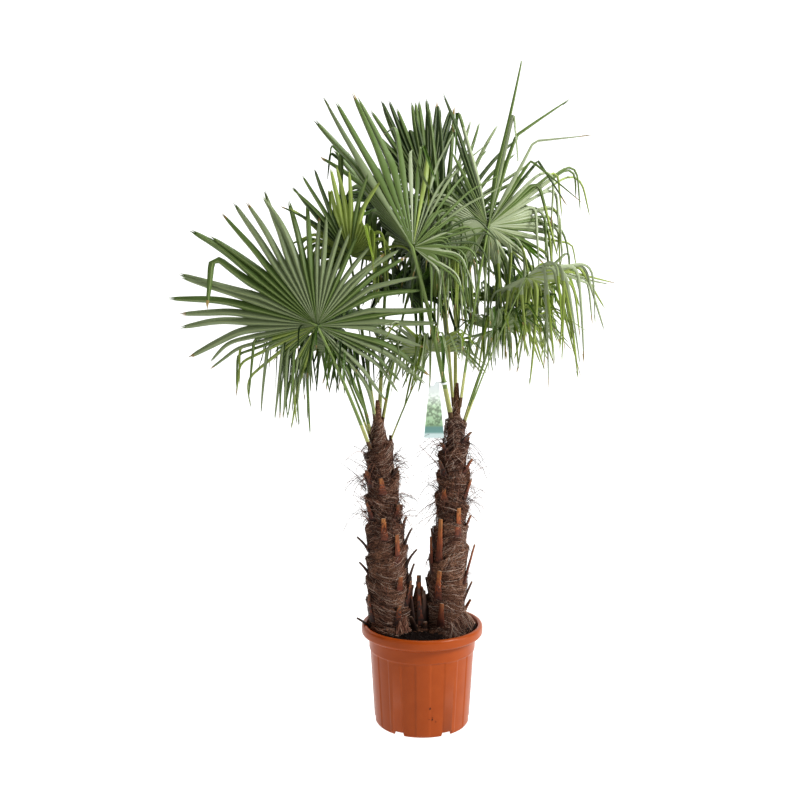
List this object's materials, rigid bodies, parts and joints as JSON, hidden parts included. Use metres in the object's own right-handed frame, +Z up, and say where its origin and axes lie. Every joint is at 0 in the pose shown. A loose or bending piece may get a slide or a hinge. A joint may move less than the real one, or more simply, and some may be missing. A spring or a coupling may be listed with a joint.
{
  "type": "potted windmill palm",
  "caption": "Fan palm with fibre-wrapped stems in a round fluted nursery pot; each crown carries fan leaves on long stalks.",
  "frame": {"origin": "middle of the pot's flat underside", "axes": "+Z up the stems, -Y towards the plant's best side, +X from the left stem to the right stem"},
  "size_m": [1.3453, 0.7793, 2.0113],
  "materials": {
    "pot": "smooth terracotta-coloured moulding",
    "soil": "crumbly potting soil",
    "stem": "matted brown fibre with cut leaf bases",
    "stalk": "smooth green",
    "fan": "semi-gloss leaf",
    "label": "plain pale card"
  },
  "bodies": {
    "root": {"fan_left_1": "fan", "fan_left_2": "fan", "fan_left_3": "fan", "fan_left_4": "fan", "fan_left_5": "fan", "fan_left_6": "fan", "fan_left_7": "fan", "fan_right_1": "fan", "fan_right_2": "fan", "fan_right_3": "fan", "fan_right_4": "fan", "fan_right_5": "fan", "fan_right_6": "fan", "fan_right_7": "fan", "fan_right_8": "fan", "label": "label", "pot": "pot", "soil": "soil", "stalk_left_1": "stalk", "stalk_left_2": "stalk", "stalk_left_3": "stalk", "stalk_left_4": "stalk", "stalk_left_5": "stalk", "stalk_left_6": "stalk", "stalk_left_7": "stalk", "stalk_right_1": "stalk", "stalk_right_2": "stalk", "stalk_right_3": "stalk", "stalk_right_4": "stalk", "stalk_right_5": "stalk", "stalk_right_6": "stalk", "stalk_right_7": "stalk", "stalk_right_8": "stalk", "stem_left": "stem", "stem_right": "stem"}
  },
  "joints": []
}
